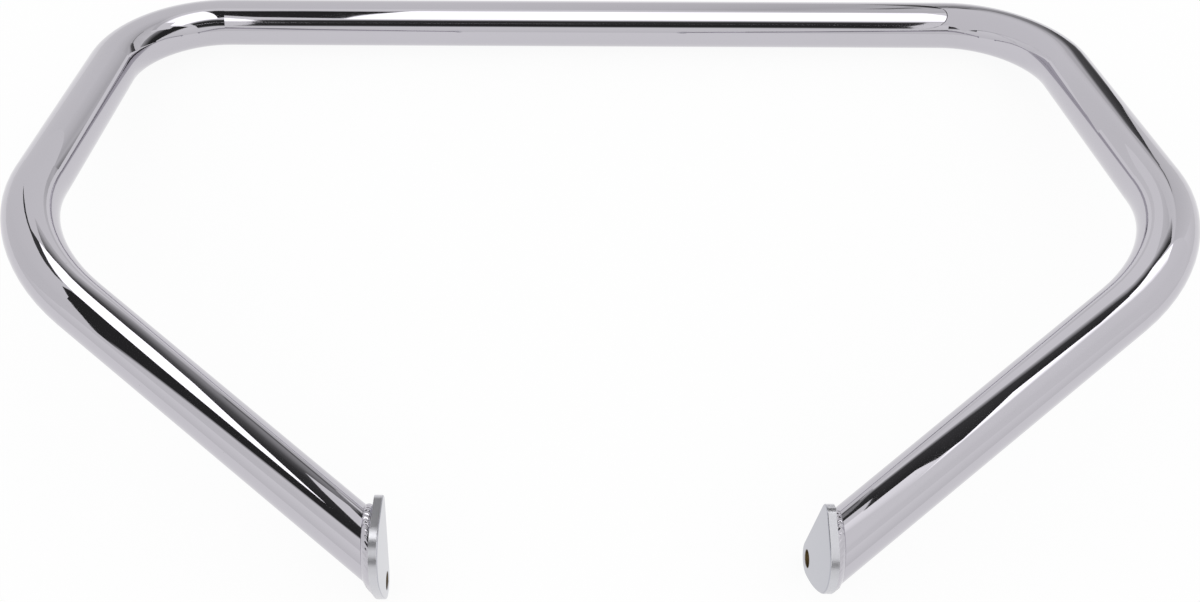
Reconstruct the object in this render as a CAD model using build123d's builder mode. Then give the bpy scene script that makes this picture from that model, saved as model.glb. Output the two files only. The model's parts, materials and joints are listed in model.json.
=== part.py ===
"""Motorcycle crash bar: one bent tube with a bolt-on tab welded to the end of each leg."""

import os
from math import acos, atan2, cos, degrees, radians, sin, sqrt

from build123d import *

# Tube
tube_diameter = 31.75
tube_wall = 3.0

# Hoop, measured on the tube's axis between the sharp corners of its straight runs
top_corner_span = 647.0
shoulder_span = 663.5
shoulder_drop = 258.5
top_bend_radius = 67.5
shoulder_bend_radius = 96.0

# Where each leg's axis meets the weld face of its tab, seen from the top bar's axis
seat_span = 240.6
seat_drop = 392.5
seat_setback = 100.7

# Tab: a plate whose outline wraps a saddle under the tube, an eye round the bolt hole and an ear
tab_thickness = 4.8
saddle_margin = 0.7
belly_radius = 80.0
eye_radius = 10.0
eye_projection = 17.4
ear_radius = 6.0
ear_projection = 8.1
ear_turn = 129.0
bolt_hole_diameter = 10.0
tab_edge_radius = 0.8
hole_chamfer = 0.4

# Angle from straight back out of the hoop to the bolt hole, towards the top bar
left_tab_clock = 1.0
right_tab_clock = 30.0

# Fillet weld round the tube on each tab, with a slightly crowned face
bead_width = 3.0
bead_height = 4.5
bead_crown = 0.5
bead_lip = 0.3

# Drain for the plating bath, in the underside of each leg
drain_diameter = 6.0
drain_distance = 48.0

tube_radius = tube_diameter / 2
bore_radius = tube_radius - tube_wall

# Each leg meets its tab at a slant, so the cut end of the tube is an ellipse
leg_run = Vector((shoulder_span - seat_span) / 2, seat_drop - shoulder_drop, seat_setback)
cut_half_length = tube_radius * leg_run.length / leg_run.X

saddle_radius = cut_half_length + saddle_margin
eye_reach = saddle_radius + eye_projection - eye_radius
ear_reach = saddle_radius + ear_projection - ear_radius


def polar(reach, angle):
    """Point at a reach and angle from the tube, with x back out of the hoop and y up the hoop."""
    return Vector(reach * cos(radians(angle)), reach * sin(radians(angle)))


def tab_rounds(clock):
    """The three rounds of a tab's outline, anticlockwise, each with its centre and radius."""
    return [
        (Vector(0, 0), saddle_radius),
        (polar(eye_reach, clock), eye_radius),
        (polar(ear_reach, clock + ear_turn), ear_radius),
    ]


def bearing(run):
    """Angle of a direction in a tab's plane."""
    return degrees(atan2(run.Y, run.X))


def straight_flank(start, end):
    """Angle at which a line that touches two rounds leaves the first and meets the second."""
    run = end[0] - start[0]
    return bearing(run) - degrees(acos((start[1] - end[1]) / run.length))


def belly_centre(start, end):
    """Centre of the belly's arc, which touches two rounds on their outer side."""
    run = end[0] - start[0]
    start_reach = belly_radius - start[1]
    end_reach = belly_radius - end[1]
    along = (start_reach**2 - end_reach**2 + run.length**2) / (2 * run.length)
    across = sqrt(start_reach**2 - along**2)
    return start[0] + polar(along, bearing(run)) + polar(across, bearing(run) + 90)


def tab_arcs(clock):
    """The arcs of a tab's outline, anticlockwise, each a round with its start and end angles."""
    saddle, eye, ear = tab_rounds(clock)
    belly = (belly_centre(saddle, eye), belly_radius)
    belly_start = bearing(saddle[0] - belly[0])
    belly_end = bearing(eye[0] - belly[0])
    ear_start = straight_flank(eye, ear)
    ear_end = straight_flank(ear, saddle)
    return [
        (saddle, ear_end, belly_start),
        (belly, belly_start, belly_end),
        (eye, belly_end, ear_start),
        (ear, ear_start, ear_end),
    ]


def tab_reach(clock, direction):
    """How far a tab's outline reaches from its seat in a direction."""
    for (centre, radius), start, end in tab_arcs(clock):
        if (bearing(direction) - start) % 360 <= (end - start) % 360:
            return centre.dot(direction) + radius


def lean_to_touch(centre, radius):
    """Lean of the hoop at which the top bar and one round of a tab touch the same floor."""
    return acos((tube_radius - radius) / centre.length) - atan2(-centre.Y, centre.X)


# The guard lies on its top bar and on the tab that reaches lowest
seat_place = Vector(seat_setback, -seat_drop)
tab_ends = tab_rounds(left_tab_clock) + tab_rounds(right_tab_clock)
hoop_lean = max(lean_to_touch(seat_place + centre, radius) for centre, radius in tab_ends)
forward = Vector(sin(hoop_lean), -cos(hoop_lean))
tab_front = max(tab_reach(clock, forward) for clock in (left_tab_clock, right_tab_clock))
bar_depth = (seat_place.dot(forward) + tab_front - tube_radius) / 2

# The hoop's plane: x along the top bar, y up the hoop to the bar, z out of its raised face
hoop = Plane(origin=(0, bar_depth, tube_radius), x_dir=(1, 0, 0), z_dir=(0, sin(hoop_lean), cos(hoop_lean)))


def leg_points(side):
    """Shoulder corner, seat on the tab and downward direction of one leg's axis."""
    shoulder = hoop.from_local_coords(Vector(side * shoulder_span / 2, -shoulder_drop, 0))
    seat = hoop.from_local_coords(Vector(side * seat_span / 2, -seat_drop, -seat_setback))
    return shoulder, seat, (seat - shoulder).normalized()


def tab_plane(side):
    """Plane of a tab's weld face: x back out of the hoop, y up the hoop, z along +X."""
    seat = leg_points(side)[1]
    return Plane(origin=seat, x_dir=-hoop.z_dir, z_dir=(1, 0, 0))


def on_axis(side, height):
    """Plane parallel to a tab's weld face at a height above it, centred on the leg's axis."""
    shoulder, seat, along = leg_points(side)
    centre = seat - along * (height / abs(along.X))
    return Plane(origin=centre, x_dir=(0, along.Y, along.Z), z_dir=(1, 0, 0))


def leg_plane(side, distance):
    """Plane square to a leg's axis, with z up the leg, at a distance from its seat."""
    shoulder, seat, along = leg_points(side)
    return Plane(origin=seat - along * distance, z_dir=-along)


def make_tube():
    """One tube, bent at four corners, with its ends cut to sit flat on the tabs."""
    left_shoulder, left_seat, left_along = leg_points(-1)
    right_shoulder, right_seat, right_along = leg_points(1)
    with BuildPart() as tube:
        with BuildLine() as axis:
            FilletPolyline(
                left_seat + left_along * tube_diameter,
                left_shoulder,
                hoop.from_local_coords(Vector(-top_corner_span / 2, 0, 0)),
                hoop.from_local_coords(Vector(top_corner_span / 2, 0, 0)),
                right_shoulder,
                right_seat + right_along * tube_diameter,
                radius=[shoulder_bend_radius, top_bend_radius, top_bend_radius, shoulder_bend_radius],
            )
        with BuildSketch(Plane(origin=axis.line @ 0, z_dir=axis.line % 0)):
            Circle(tube_radius)
            Circle(bore_radius, mode=Mode.SUBTRACT)
        sweep()
        for side in (-1, 1):
            with BuildSketch(on_axis(side, 0)):
                Circle(2 * tube_diameter)
            extrude(amount=-side * 2 * tube_diameter, mode=Mode.SUBTRACT)
            run = leg_plane(side, drain_distance)
            underside = run.z_dir * run.z_dir.Z - Vector(0, 0, 1)
            with BuildSketch(Plane(origin=run.origin, z_dir=underside)):
                Circle(drain_diameter / 2)
            extrude(amount=tube_diameter, mode=Mode.SUBTRACT)
    return tube


def tab_outline(side, clock):
    """Outline of a tab on its weld face: a belly under the eye, and straight flanks to the ear."""
    with BuildSketch(tab_plane(side)) as outline:
        with BuildLine():
            saddle, belly, eye, ear = [
                CenterArc(centre, radius, start, (end - start) % 360)
                for (centre, radius), start, end in tab_arcs(clock)
            ]
            Line(eye @ 1, ear @ 0)
            Line(ear @ 1, saddle @ 0)
        make_face()
    return outline


def make_tab(side, clock):
    """Flat plate tab with one bolt hole, rounded at its mounting face and square at the weld."""
    inward = (-side, 0, 0)
    with BuildPart() as tab:
        extrude(tab_outline(side, clock).sketch, amount=tab_thickness, dir=inward)
        mounting_face = tab.faces().filter_by(Axis.X).sort_by(Axis.X, reverse=side < 0)[0]
        fillet(mounting_face.edges(), radius=tab_edge_radius)
        with BuildSketch(tab_plane(side)):
            with Locations(polar(eye_reach, clock)):
                Circle(bolt_hole_diameter / 2)
        extrude(amount=tab_thickness, dir=inward, mode=Mode.SUBTRACT)
        faces = tab.faces().filter_by(Axis.X)
        chamfer([wire.edges() for face in faces for wire in face.inner_wires()], length=hole_chamfer)
    return tab


def make_bead(side, clock):
    """Fillet weld that fills the corner between the tube's end and its tab."""
    crown_width = (bead_width + bead_lip) / 2 + bead_crown
    up_leg = leg_plane(side, 0).z_dir
    with BuildPart() as bead:
        for height, width in ((0, bead_width), (bead_height / 2, crown_width), (bead_height, bead_lip)):
            with BuildSketch(on_axis(side, height)):
                Ellipse(cut_half_length + width, tube_radius + width)
        loft()
        slanted_length = bead_height / abs(up_leg.X)
        extrude(tab_outline(side, clock).sketch, amount=slanted_length, dir=up_leg, mode=Mode.INTERSECT)
        with BuildSketch(leg_plane(side, 0)):
            Circle(tube_radius)
        extrude(amount=2 * tube_diameter, both=True, mode=Mode.SUBTRACT)
    return bead


pieces = {
    "guard_tube": make_tube(),
    "left_mount_tab": make_tab(-1, left_tab_clock),
    "right_mount_tab": make_tab(1, right_tab_clock),
    "left_weld_bead": make_bead(-1, left_tab_clock),
    "right_weld_bead": make_bead(1, right_tab_clock),
}

os.makedirs("parts", exist_ok=True)
for name, piece in pieces.items():
    piece.part.label = name
    export_step(piece.part, f"parts/{name}.step")
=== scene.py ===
"""Chrome crash bar for a motorcycle, lying on a pale studio floor."""

import json
from math import atan2, cos, radians, sin, sqrt, tau

import bpy
from mathutils import Matrix, Vector
from mathutils.geometry import convex_hull_2d


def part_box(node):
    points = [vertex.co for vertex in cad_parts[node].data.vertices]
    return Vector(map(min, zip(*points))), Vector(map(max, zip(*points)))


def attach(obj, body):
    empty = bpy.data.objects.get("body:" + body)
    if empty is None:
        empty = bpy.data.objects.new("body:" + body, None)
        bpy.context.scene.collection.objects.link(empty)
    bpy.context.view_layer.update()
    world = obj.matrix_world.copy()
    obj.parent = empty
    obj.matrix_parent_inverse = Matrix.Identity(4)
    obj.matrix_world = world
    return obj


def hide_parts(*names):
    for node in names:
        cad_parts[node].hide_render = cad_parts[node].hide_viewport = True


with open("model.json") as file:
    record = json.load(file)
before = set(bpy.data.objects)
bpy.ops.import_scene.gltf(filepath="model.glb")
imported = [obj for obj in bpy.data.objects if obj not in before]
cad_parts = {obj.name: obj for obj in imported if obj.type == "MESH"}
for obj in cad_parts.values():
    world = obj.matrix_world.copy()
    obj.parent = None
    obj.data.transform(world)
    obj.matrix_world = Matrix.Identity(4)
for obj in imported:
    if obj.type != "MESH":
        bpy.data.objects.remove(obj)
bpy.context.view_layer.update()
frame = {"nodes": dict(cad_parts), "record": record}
nodes = frame["nodes"]
mounts = {mount["name"]: mount for mount in frame["record"]["mounts"]}


# The guard's hoop: one length of steel tube, bent cold at four corners, polished and chrome plated.
# The plate copies every slight wave of the polished steel, and its tint drifts a little over the bends.
chrome_tint = (0.562, 0.544, 0.592, 1.0)
chrome_drift_tint = (0.528, 0.514, 0.55, 1.0)
drift_grain = 9.0
pit_tint = (0.44, 0.43, 0.45, 1.0)
pit_grain = 420.0
pit_edge = 0.03
haze_grain = 38.0
haze_low = 0.3
haze_high = 0.75
wave_grain = 14.0


def node_builder(tree):
    """Two short ways to build a finish: add a node with its inputs, and feed the inputs of a node."""
    def feed(node, inputs):
        for socket, value in dict(inputs).items():
            if isinstance(value, bpy.types.NodeSocket):
                tree.links.new(value, node.inputs[socket])
            else:
                node.inputs[socket].default_value = value

    def add(kind, inputs=(), **settings):
        node = tree.nodes.new(kind)
        for key, value in settings.items():
            setattr(node, key, value)
        feed(node, inputs)
        return node

    return add, feed


def start_material(name):
    """New material, its parts, which are only a shader and an output, and the ways to build on them."""
    material = bpy.data.materials.new(name)
    material.use_nodes = True
    return material, material.node_tree.nodes, *node_builder(material.node_tree)


def chrome_plate(name, polish, wave, pits, tint=chrome_tint, drift_tint=chrome_drift_tint):
    """Chrome with drifting tint, hazed polish, a slow wave in the surface and a few pits."""
    material, parts, add, feed = start_material(name)
    shader = parts["Principled BSDF"]
    place = add("ShaderNodeTexCoord").outputs["Object"]

    drift = add("ShaderNodeTexNoise", {"Vector": place, "Scale": drift_grain, "Detail": 2.0})
    colour = add(
        "ShaderNodeMix",
        {"Factor": drift.outputs["Fac"], "A": tint, "B": drift_tint},
        data_type="RGBA",
    )

    pit_noise = add("ShaderNodeTexNoise", {"Vector": place, "Scale": pit_grain, "Detail": 1.0})
    pit = add(
        "ShaderNodeMapRange",
        {"Value": pit_noise.outputs["Fac"], "From Min": pits, "From Max": pits + pit_edge},
    )
    pitted = add(
        "ShaderNodeMix",
        {"Factor": pit.outputs["Result"], "A": colour.outputs["Result"], "B": pit_tint},
        data_type="RGBA",
    )

    haze = add("ShaderNodeTexNoise", {
        "Vector": place, "Scale": haze_grain, "Detail": 5.0, "Roughness": 0.65,
    })
    gloss = add("ShaderNodeMapRange", {
        "Value": haze.outputs["Fac"], "From Min": haze_low, "From Max": haze_high,
        "To Min": polish[0], "To Max": polish[1],
    })

    slow = add("ShaderNodeTexNoise", {"Vector": place, "Scale": wave_grain, "Detail": 0.5})
    bump = add("ShaderNodeBump", {"Height": slow.outputs["Fac"], "Strength": 1.0, "Distance": wave})
    feed(shader, {
        "Base Color": pitted.outputs["Result"],
        "Roughness": gloss.outputs["Result"],
        "Normal": bump.outputs["Normal"],
        "Metallic": 1.0,
    })
    return material, shader, add, feed


tube = nodes["guard_tube"]
tube_low, tube_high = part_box("guard_tube")
tube_finish = chrome_plate("tube_chrome_plate", polish=(0.02, 0.06), wave=0.00022, pits=0.82)[0]
tube.data.materials[0] = tube_finish


# The two mounting tabs: flat steel plates cut to a rounded outline, drilled, and welded across the legs.
# They are plated with the tube and duller on their cut rims, whose lighter tint is a painted sheen,
# and the plate hardly reaches into the bolt hole, whose wall stays brown.
tab_tint = (0.447, 0.45, 0.50, 1.0)
tab_drift_tint = (0.425, 0.43, 0.475, 1.0)
# The rims' lighter tint is a painted sheen that stands in for bright reflections.
rim_painted_sheen_tint = (0.6, 0.6, 0.63, 1.0)
rim_roughness = 0.28
rim_facing = 0.3
face_facing = 0.8
hole_tint = (0.16, 0.115, 0.05, 1.0)
hole_roughness = 0.4
hole_edge = 0.0003


def tab_finish(side):
    """Chrome with a dull rim tinted lighter as a painted sheen, and the bare wall of that side's bolt hole.
    """
    finish, shader, add, feed = chrome_plate(
        f"{side}_tab_chrome_plate",
        polish=(0.03, 0.09),
        wave=0.00008,
        pits=0.8,
        tint=tab_tint,
        drift_tint=tab_drift_tint,
    )
    face_colour = shader.inputs["Base Color"].links[0].from_socket
    face_gloss = shader.inputs["Roughness"].links[0].from_socket

    facing = add("ShaderNodeSeparateXYZ", {"Vector": add("ShaderNodeNewGeometry").outputs["Normal"]})
    flatness = add("ShaderNodeMath", {0: facing.outputs["X"]}, operation="ABSOLUTE")
    face = add(
        "ShaderNodeMapRange",
        {"Value": flatness.outputs[0], "From Min": rim_facing, "From Max": face_facing},
    ).outputs["Result"]
    # The rims take the lighter tint here: a painted sheen.
    plate_colour = add("ShaderNodeMix", {"Factor": face, "A": rim_painted_sheen_tint, "B": face_colour}, data_type="RGBA")
    plate_gloss = add("ShaderNodeMix", {"Factor": face, "A": rim_roughness, "B": face_gloss})

    hole = mounts[f"{side}_tab_hole"]
    hole_radius = hole["dims"]["r_mm"] / 1000
    hole_centre = (0.0, *hole["pos_m"][1:])
    spot = add("ShaderNodeSeparateXYZ", {"Vector": add("ShaderNodeTexCoord").outputs["Object"]})
    flat = add("ShaderNodeCombineXYZ", {"Y": spot.outputs["Y"], "Z": spot.outputs["Z"]})
    reach = add("ShaderNodeVectorMath", {0: flat.outputs["Vector"], 1: hole_centre}, operation="DISTANCE")
    bare = add(
        "ShaderNodeMapRange",
        {"Value": reach.outputs["Value"], "From Min": hole_radius + hole_edge, "From Max": hole_radius},
    ).outputs["Result"]
    colour = add(
        "ShaderNodeMix",
        {"Factor": bare, "A": plate_colour.outputs["Result"], "B": hole_tint},
        data_type="RGBA",
    )
    gloss = add("ShaderNodeMix", {"Factor": bare, "A": plate_gloss.outputs["Result"], "B": hole_roughness})
    feed(shader, {"Base Color": colour.outputs["Result"], "Roughness": gloss.outputs["Result"]})
    return finish


for side in ("left", "right"):
    nodes[f"{side}_mount_tab"].data.materials[0] = tab_finish(side)


# The weld beads: a fillet of weld steel laid round each leg where it stands on its tab, and plated too.
# The welder's ripples and lumps stay on the upper side, and the lower side is ground smooth.
bead_width = 0.003
bead_height = 0.0045
bead_crown = 0.0005
bead_lip = 0.0003
bead_root = 0.0004
trim_step = bead_lip / 4
ripple_count = 46
ripple_height = 0.00016
ripple_bow = 5.0
lump_height = 0.0002
lump_waves = [(7, 1.0, 0.8), (12, 0.6, 2.1)]
upper_turn = radians(40)
bead_steps = 460
crown_steps = 12
crease = radians(50)
same_plane = 0.00001
tube_radius = mounts["top_bar_clamp_seat"]["dims"]["r_mm"] / 1000


def leg_end(side):
    """Where a leg stands on its tab: the seat, the slanted cut's two half axes and the way up the leg."""
    outward = -1 if side == "left" else 1
    face = max(outward * corner.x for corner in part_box(f"{side}_mount_tab")) * outward
    seat = Vector((face, *mounts[f"{side}_tab_face"]["pos_m"][1:]))
    rim = [vertex.co - seat for vertex in tube.data.vertices if abs(vertex.co.x - face) < same_plane]
    cross_spread = sum(2 * spot.y * spot.z for spot in rim)
    square_spread = sum(spot.y**2 - spot.z**2 for spot in rim)
    tilt = atan2(cross_spread, square_spread) / 2
    long_axis = Vector((0, cos(tilt), sin(tilt)))
    half_length = max(spot.dot(long_axis) for spot in rim)
    slant = tube_radius / half_length
    up_leg = Vector((outward * slant, 0, 0)) + long_axis * sqrt(1 - slant**2)
    return seat, long_axis * half_length, Vector((0, -sin(tilt), cos(tilt))) * tube_radius, up_leg


def toe_outline(side, face):
    """The edge of the weld on the tab, as corners in order round it."""
    bead_points = [vertex.co for vertex in nodes[f"{side}_weld_bead"].data.vertices]
    toe = [point.yz for point in bead_points if abs(point.x - face) < same_plane]
    return [toe[index] for index in convex_hull_2d(toe)]


def inside(outline, spot):
    """Whether a spot of the tab's face lies within an outline."""
    edges = zip(outline, outline[1:] + outline[:1])
    turns = [(end - start).cross(spot - start) for start, end in edges]
    return min(turns) >= 0 or max(turns) <= 0


def make_bead(side):
    """A ring of weld whose face bulges slightly and is rippled on its upper side."""
    seat, long_axis, short_axis, up_leg = leg_end(side)
    outline = toe_outline(side, seat.x)

    def spot(turn, width, height):
        long_reach = long_axis * (1 + width / long_axis.length) * cos(turn)
        short_reach = short_axis * (1 + width / short_axis.length) * sin(turn)
        return seat + up_leg * (height / abs(up_leg.x)) + long_reach + short_reach

    points = []
    for step in range(bead_steps):
        turn = tau * step / bead_steps
        toe = bead_width
        while toe > bead_lip and not inside(outline, spot(turn, toe, 0).yz):
            toe -= trim_step
        upper = (0.5 + 0.5 * cos(turn - upper_turn)) ** 2
        lumps = sum(share * sin(count * turn + start) for count, share, start in lump_waves)
        for level in range(crown_steps + 1):
            rise = level / crown_steps
            bulge = 4 * rise * (1 - rise)
            width = min(bead_width + (bead_lip - bead_width) * rise + bead_crown * bulge, toe)
            ripple = sin(ripple_count * turn + ripple_bow * bulge)
            width += upper * bulge * (ripple_height * ripple + lump_height * lumps)
            points.append(spot(turn, width, bead_height * rise))
        points.append(spot(turn, -bead_root, bead_height + bead_lip))
        points.append(spot(turn, -bead_root, 0))

    row = crown_steps + 3
    faces = []
    for step in range(bead_steps):
        here = step * row
        after = (step + 1) % bead_steps * row
        for level in range(row):
            above = (level + 1) % row
            faces.append((here + level, after + level, after + above, here + above))
    mesh = bpy.data.meshes.new(f"{side}_weld_ripples")
    mesh.from_pydata(points, [], faces if side == "right" else [face[::-1] for face in faces])
    mesh.shade_smooth()
    mesh.set_sharp_from_angle(angle=crease)
    bead = bpy.data.objects.new(f"{side}_weld_ripples", mesh)
    bpy.context.scene.collection.objects.link(bead)
    return bead


weld_finish = chrome_plate("weld_chrome_plate", polish=(0.06, 0.16), wave=0.0003, pits=0.76)[0]
for side in ("left", "right"):
    bead = make_bead(side)
    bead.data.materials.append(weld_finish)
    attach(bead, "root")
    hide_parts(f"{side}_weld_bead")


# The floor: a wide sheet of matt white paper, laid flat under the guard, which keeps its soft shadow.
# To the camera and in the chrome it glows almost to white.
floor_half = 20.0
floor_tint = (0.97, 0.97, 0.97, 1.0)
floor_roughness = 0.9
floor_glow = 0.9


def flat_piece(name, points, faces):
    """A sheet of the studio, of flat faces through the given corners."""
    mesh = bpy.data.meshes.new(name)
    mesh.from_pydata(points, [], faces)
    piece = bpy.data.objects.new(name, mesh)
    bpy.context.scene.collection.objects.link(piece)
    return piece


floor_signs = [(-1, -1), (1, -1), (1, 1), (-1, 1)]
floor = flat_piece("floor", [(x * floor_half, y * floor_half, 0) for x, y in floor_signs], [range(4)])
paper, parts, add, feed = start_material("floor_paper")
shader = parts["Principled BSDF"]
feed(shader, {"Base Color": floor_tint, "Roughness": floor_roughness, "Specular IOR Level": 0.0})
path = add("ShaderNodeLightPath").outputs
seen = add("ShaderNodeMath", {0: path["Is Camera Ray"], 1: path["Is Glossy Ray"]}, operation="MAXIMUM")
shown = add("ShaderNodeMath", {0: seen.outputs[0], 1: path["Is Transmission Ray"]}, operation="MAXIMUM")
share = add("ShaderNodeMath", {0: shown.outputs[0], 1: floor_glow}, operation="MULTIPLY")
glow = add("ShaderNodeEmission", {"Color": (1, 1, 1, 1), "Strength": 1.0})
mixed = add("ShaderNodeMixShader", {0: share.outputs[0], 1: shader.outputs[0], 2: glow.outputs[0]})
feed(parts["Material Output"], {"Surface": mixed.outputs[0]})
floor.data.materials.append(paper)


# The camera: it stands close in front of the legs, 0.6 m up, and looks down on the guard.
# Its lens is shifted a little, because the guard lies off the middle of the lens's own view.
camera_place = Vector((-0.037059, -0.388212, 0.599228))
camera_target = Vector((-0.040388, -0.078508, 0.050619))
camera_roll = -0.0034
camera_sensor = 36.0
camera_lens = 33.0
camera_shift = (0.0614, 0.0323)
camera_near = 0.01
camera = bpy.data.objects.new("camera", bpy.data.cameras.new("camera"))
bpy.context.scene.collection.objects.link(camera)
facing = (camera_target - camera_place).to_track_quat("-Z", "Y").to_matrix().to_4x4()
camera.matrix_world = Matrix.Translation(camera_place) @ facing @ Matrix.Rotation(camera_roll, 4, "Z")
camera.data.sensor_width = camera_sensor
camera.data.lens = camera_lens
camera.data.shift_x, camera.data.shift_y = camera_shift
camera.data.clip_start = camera_near
bpy.context.scene.camera = camera


# The legs' cards: black, grey and white sheets, laid in layers on a board for the legs to mirror.
# The board runs out from the top bar and past the camera, edge-on to the lens. Like all the studio's cards
# it shows only in reflections, and its glow blends from one rail of points to the next.
black = 0.03
white = 1.0
lamp = 2.2
card_gap = 0.0006
board_foot = 0.13
board_right_foot = 0.25
board_head = 4.2
bar_axis = Vector((0, tube_high.y - tube_radius, tube_low.z + tube_radius))
sight = Vector((0, camera_place.y - bar_axis.y, camera_place.z - bar_axis.z)).normalized()
legs_side = Vector((1, 0, 0)).cross(sight)

card_glow, parts, add, feed = start_material("card_glow")
parts.remove(parts["Principled BSDF"])
strength = add("ShaderNodeAttribute", attribute_name="glow")
emission = add("ShaderNodeEmission", {"Strength": strength.outputs["Fac"]})
feed(parts["Material Output"], {"Surface": emission.outputs[0]})


def studio_card(name, place, rails):
    """A card for the chrome to mirror: one flat shape, or bands that blend from rail to rail."""
    points = [place(*point) for glow, rail in rails for point in rail]
    count = len(rails[0][1])
    faces = [range(count)]
    if len(rails) > 1:
        corners = [row * count + step for row in range(len(rails) - 1) for step in range(count - 1)]
        faces = [(corner, corner + 1, corner + count + 1, corner + count) for corner in corners]
    card = flat_piece(name, points, faces)
    glows = card.data.attributes.new("glow", "FLOAT", "POINT")
    glows.data.foreach_set("value", [glow for glow, rail in rails for point in rail])
    card.visible_camera = False
    card.visible_diffuse = False
    card.visible_shadow = False
    card.visible_transmission = False
    card.data.materials.append(card_glow)


def straight_rails(near, far, glows):
    """Rails that all run from one edge of a card to the other, each with its glow and its place across."""
    return [(glow, [(x, near), (x, far)]) for glow, x in glows]


def on_board(layer):
    """Places on one layer of the board, given along the top bar and out from it towards the camera."""
    return lambda x, out: bar_axis + Vector((x, 0, 0)) + sight * out + legs_side * (card_gap * layer)


left_glows = [(0.85, -3.0), (0.86, -0.5), (0.96, -0.1), (0.98, 0.294)]
right_glows = [(0.98, 0.296), (0.92, 0.5), (0.88, 8.0)]
board_left = straight_rails(board_foot, board_head, left_glows)
board_right = straight_rails(board_right_foot, board_head, right_glows)
studio_card("board", on_board(0), board_left + board_right)
studio_card("left_tip_black", on_board(1), [
    (0.06, [(-0.362, 0.183), (-0.345, 0.205), (-0.333, 0.232), (-0.314, 0.238), (-0.314, 0.27),
            (-0.31, 0.318), (-0.322, 0.31), (-0.334, 0.285), (-0.339, 0.24), (-0.352, 0.21)]),
])
studio_card("left_leg_black", on_board(1), [
    (black, [(-0.82, 0.925), (-0.59, 0.685), (-0.49, 0.575), (-0.405, 0.47), (-0.362, 0.4),
             (-0.331, 0.345), (-0.305, 0.33), (-0.2, 0.4), (-0.03, 0.45)]),
    (black, [(-0.8, 0.93), (-0.6, 0.74), (-0.5, 0.68), (-0.44, 0.65), (-0.38, 0.63),
             (-0.33, 0.63), (-0.28, 0.64), (-0.17, 0.68), (-0.07, 0.66)]),
    (0.9, [(-0.79, 0.95), (-0.58, 0.8), (-0.48, 0.75), (-0.43, 0.73), (-0.38, 0.72),
           (-0.33, 0.73), (-0.28, 0.74), (-0.18, 0.74), (-0.09, 0.74)]),
])
studio_card("left_leg_dusk", on_board(2), [
    (0.75, [(-0.305, 0.2), (-0.262, 0.185), (-0.205, 0.14),
            (-0.14, 0.13), (-0.05, 0.13), (0.02, 0.13)]),
    (0.38, [(-0.303, 0.217), (-0.25, 0.212), (-0.195, 0.183),
            (-0.13, 0.165), (-0.06, 0.19), (0.03, 0.19)]),
    (0.3, [(-0.302, 0.222), (-0.25, 0.219), (-0.19, 0.2),
           (-0.11, 0.22), (-0.04, 0.25), (0.02, 0.25)]),
    (0.12, [(-0.3, 0.229), (-0.252, 0.233), (-0.2, 0.24),
            (-0.13, 0.275), (-0.08, 0.295), (-0.055, 0.3)]),
    (0.05, [(-0.298, 0.235), (-0.252, 0.248), (-0.2, 0.285),
            (-0.14, 0.36), (-0.09, 0.36), (-0.055, 0.36)]),
    (black, [(-0.29, 0.24), (-0.22, 0.28), (-0.12, 0.45),
             (-0.11, 0.51), (-0.07, 0.52), (-0.03, 0.52)]),
])
studio_card("left_leg_line", on_board(3), [
    (0.35, [(-0.13, 0.18), (-0.06, 0.185), (0.02, 0.2)]),
    (0.08, [(-0.11, 0.16), (-0.06, 0.15), (0.01, 0.165)]),
    (0.5, [(-0.12, 0.135), (-0.06, 0.13), (0.02, 0.135)]),
])
studio_card("left_leg_white", on_board(4), [
    (lamp, [(-0.313, 0.237), (-0.312, 0.28), (-0.302, 0.318), (-0.28, 0.36),
            (-0.25, 0.402), (-0.2, 0.445), (-0.15, 0.492), (-0.112, 0.515)]),
    (lamp, [(-0.275, 0.237), (-0.25, 0.262), (-0.225, 0.275), (-0.2, 0.284),
            (-0.172, 0.305), (-0.15, 0.36), (-0.13, 0.42), (-0.11, 0.51)]),
])
studio_card("right_leg_pale", on_board(1), [
    (1.3, [(0.045, 0.375), (0.1, 0.375), (0.15, 0.4), (0.2, 0.34)]),
    (1.2, [(0.05, 0.43), (0.1, 0.455), (0.15, 0.46), (0.2, 0.48)]),
    (white, [(0.06, 0.47), (0.1, 0.495), (0.15, 0.52), (0.2, 0.545)]),
])
studio_card("right_leg_white", on_board(1), [
    (lamp, [(0.2, 0.34), (0.25, 0.3), (0.282, 0.262), (0.36, 0.252)]),
    (lamp, [(0.2, 0.47), (0.25, 0.37), (0.3, 0.325), (0.36, 0.262)]),
    (white, [(0.2, 0.545), (0.265, 0.42), (0.315, 0.36), (0.37, 0.29)]),
])
studio_card("right_leg_black", on_board(2), [
    (0.85, [(-0.02, 0.155), (0.04, 0.175), (0.06, 0.185), (0.09, 0.2), (0.14, 0.225),
            (0.19, 0.24), (0.24, 0.247), (0.275, 0.245), (0.3, 0.222), (0.33, 0.208)]),
    (0.35, [(0.0, 0.18), (0.045, 0.197), (0.065, 0.207), (0.1, 0.228), (0.15, 0.252),
            (0.2, 0.263), (0.24, 0.268), (0.278, 0.266), (0.302, 0.238), (0.335, 0.22)]),
    (0.06, [(0.0, 0.205), (0.05, 0.225), (0.07, 0.235), (0.105, 0.25), (0.15, 0.272),
            (0.2, 0.282), (0.24, 0.286), (0.282, 0.28), (0.306, 0.25), (0.34, 0.234)]),
    (black, [(0.01, 0.3), (0.055, 0.31), (0.07, 0.385), (0.125, 0.385), (0.18, 0.452),
             (0.21, 0.455), (0.213, 0.36), (0.285, 0.34), (0.31, 0.256), (0.345, 0.246)]),
])


# The back wall: a grey card across the room behind the top bar, for the hoop's sides to mirror.
# A black stand is set against it on the right, with a post above it, and a dark sheet laid forward on the
# floor is its painted shadow.
wall_depth = 1.5
wall_height = 2.4
stand_depth = 1.49


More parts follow.
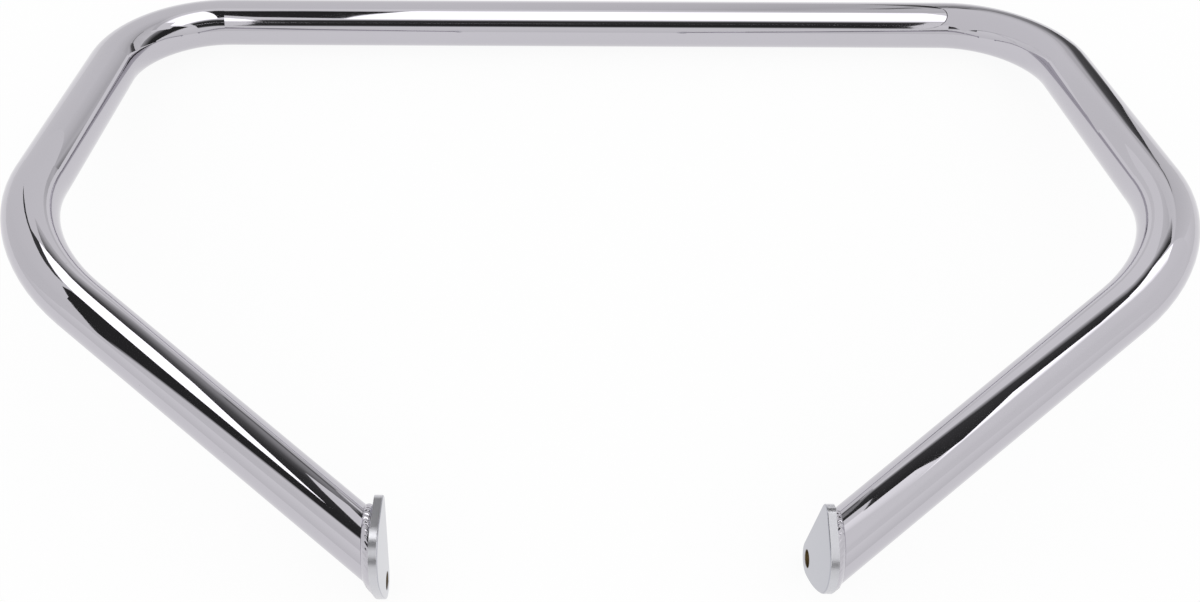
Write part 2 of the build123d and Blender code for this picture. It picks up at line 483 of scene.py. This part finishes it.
def upright(depth):
    """Places on an upright card at a depth behind the guard, given across it and up from the floor."""
    return lambda x, height: (x, depth, height)


def flat_at(height):
    """Places on a level card at a height, given across the room and back through it."""
    return lambda x, y: (x, y, height)


studio_card("back_wall", upright(wall_depth), straight_rails(0.0, wall_height, [
    (0.9, -3.0), (0.88, -0.2), (0.78, 0.3), (0.66, 0.6), (0.8, 1.0), (0.9, 3.0),
]))
studio_card("stand_black", upright(stand_depth), [
    (0.7, [(0.62, 0.68), (0.66, 0.5), (0.74, 0.3), (0.78, 0.1), (0.80, 0.0)]),
    (0.12, [(0.79, 0.68), (0.84, 0.5), (0.93, 0.3), (1.02, 0.1), (1.06, 0.0)]),
    (0.05, [(0.94, 0.66), (1.1, 0.5), (1.24, 0.32), (1.36, 0.12), (1.42, 0.0)]),
])
studio_card("stand_post", upright(stand_depth), [
    (0.7, [(0.72, 1.45), (0.71, 1.1), (0.71, 0.8), (0.72, 0.68)]),
    (0.2, [(0.76, 1.45), (0.75, 1.1), (0.76, 0.8), (0.84, 0.67)]),
    (0.2, [(0.80, 1.45), (0.79, 1.1), (0.82, 0.8), (0.93, 0.66)]),
])
# A dark sheet on the floor, pale at the guard's end and darkest at the stand: a painted shadow of the
# stand.
studio_card("stand_painted_shadow", flat_at(card_gap), [
    (0.9, [(0.45, 0.35), (0.49, 0.325)]),
    (0.15, [(0.58, 0.52), (0.64, 0.49)]),
    (0.08, [(1.0, stand_depth), (1.42, stand_depth)]),
])


# The bend card: a stiff sheet that leans out over the right bend, in front of the back wall.
# Its black face ends the lamp's band on the top bar, and the bend mirrors the pale face on its far side.
bend_start = 0.254
card_slope = 0.52
card_foot = 0.05
card_head = 0.9


def beside_bend(layer):
    """Places on one face of the bend card, given back from the board and up from the floor."""
    def place(back_from_board, height):
        board_y = bar_axis.y + sight.y / sight.z * (height - bar_axis.z)
        x = bend_start + card_slope * (height - 2 * tube_radius) + card_gap * layer
        return x, board_y + back_from_board, height

    return place


studio_card("bend_card_back", beside_bend(0), [
    (black, [(-0.02, card_foot), (0.022, 0.09), (0.022, card_head)]),
    (black, [(0.12, card_foot), (0.16, 0.09), (0.75, card_head)]),
    (0.5, [(0.29, card_foot), (0.34, 0.09), (1.1, card_head)]),
])
studio_card("bend_card_front", beside_bend(1), [
    (0.88, [(-0.06, card_foot), (-0.01, 0.1), (-0.006, 0.16), (0.012, 0.25), (0.012, card_head)]),
    (0.92, [(0.12, card_foot), (0.16, 0.1), (0.21, 0.16), (0.28, 0.25), (0.75, card_head)]),
    (0.8, [(0.29, card_foot), (0.36, 0.1), (0.47, 0.16), (0.63, 0.25), (1.9, card_head)]),
])


# The ceiling: a lamp sheet over the guard, whose band runs along the top bar, with black cards round it.
# They hang level at one height, and behind the lamp the ceiling greys towards the right.
ceiling = 3.0
overhead = flat_at(ceiling)
studio_card("lamp_sheet", overhead, [
    (white, [(-0.44, 1.3), (1.30, 1.3)]),
    (lamp, [(-0.48, 0.9), (1.30, 0.9)]),
    (lamp, [(-0.70, -1.1), (1.40, -1.1)]),
    (0.5, [(-0.75, -1.6), (1.47, -1.6)]),
])
studio_card("camera_side_black", overhead, [
    (0.5, [(-1.1, -1.6), (1.43, -1.6)]),
    (0.05, [(-1.12, -1.9), (1.48, -1.9)]),
    (black, [(-1.4, -3.5), (1.78, -3.5)]),
    (black, [(-1.7, -4.8), (2.15, -4.8)]),
    (0.7, [(-2.1, -6.0), (2.5, -6.0)]),
])
studio_card("lamp_end", overhead, [
    (lamp, [(1.30, 0.2), (2.05, 0.1)]),
    (lamp, [(1.40, -1.1), (2.07, -1.1)]),
    (0.5, [(1.47, -1.6), (2.05, -1.6)]),
])
studio_card("right_ceiling_black", overhead, [
    (black, [(2.35, -0.5), (5.5, -0.5), (5.5, -2.7), (2.35, -2.7)]),
])
studio_card("left_end_black", overhead, [
    (0.4, [(-0.46, 0.95), (-0.8, 1.05), (-1.1, 0.95)]),
    (black, [(-0.48, 0.85), (-0.8, 0.85), (-1.12, 0.75)]),
    (black, [(-0.6, 0.0), (-0.8, 0.0), (-1.12, -0.1)]),
    (black, [(-0.70, -1.1), (-0.85, -0.95), (-1.0, -0.8)]),
])
studio_card("left_bend_white", overhead, [
    (lamp, [(-1.13, -1.0), (-1.1, -1.7), (-1.15, -2.3), (-1.35, -2.3), (-1.25, -1.0)]),
])
studio_card("far_dusk", overhead, straight_rails(1.32, 7.0, [(white, 0.2), (0.75, 1.2), (0.7, 2.6)]))


# The room: white all round, a little greyer near the floor than above.
# It lights the guard softly and evenly from every side.
room_low_level = 0.86
room_full_height = 0.6
world = bpy.data.worlds.new("white_room")
world.use_nodes = True
add, feed = node_builder(world.node_tree)
heading = add("ShaderNodeTexCoord").outputs["Generated"]
height = add("ShaderNodeSeparateXYZ", {"Vector": heading}).outputs["Z"]
level = add("ShaderNodeMapRange", {"Value": height, "From Max": room_full_height, "To Min": room_low_level})
feed(world.node_tree.nodes["Background"], {"Color": (1, 1, 1, 1), "Strength": level.outputs["Result"]})
bpy.context.scene.world = world
bpy.context.scene.view_settings.view_transform = "Standard"
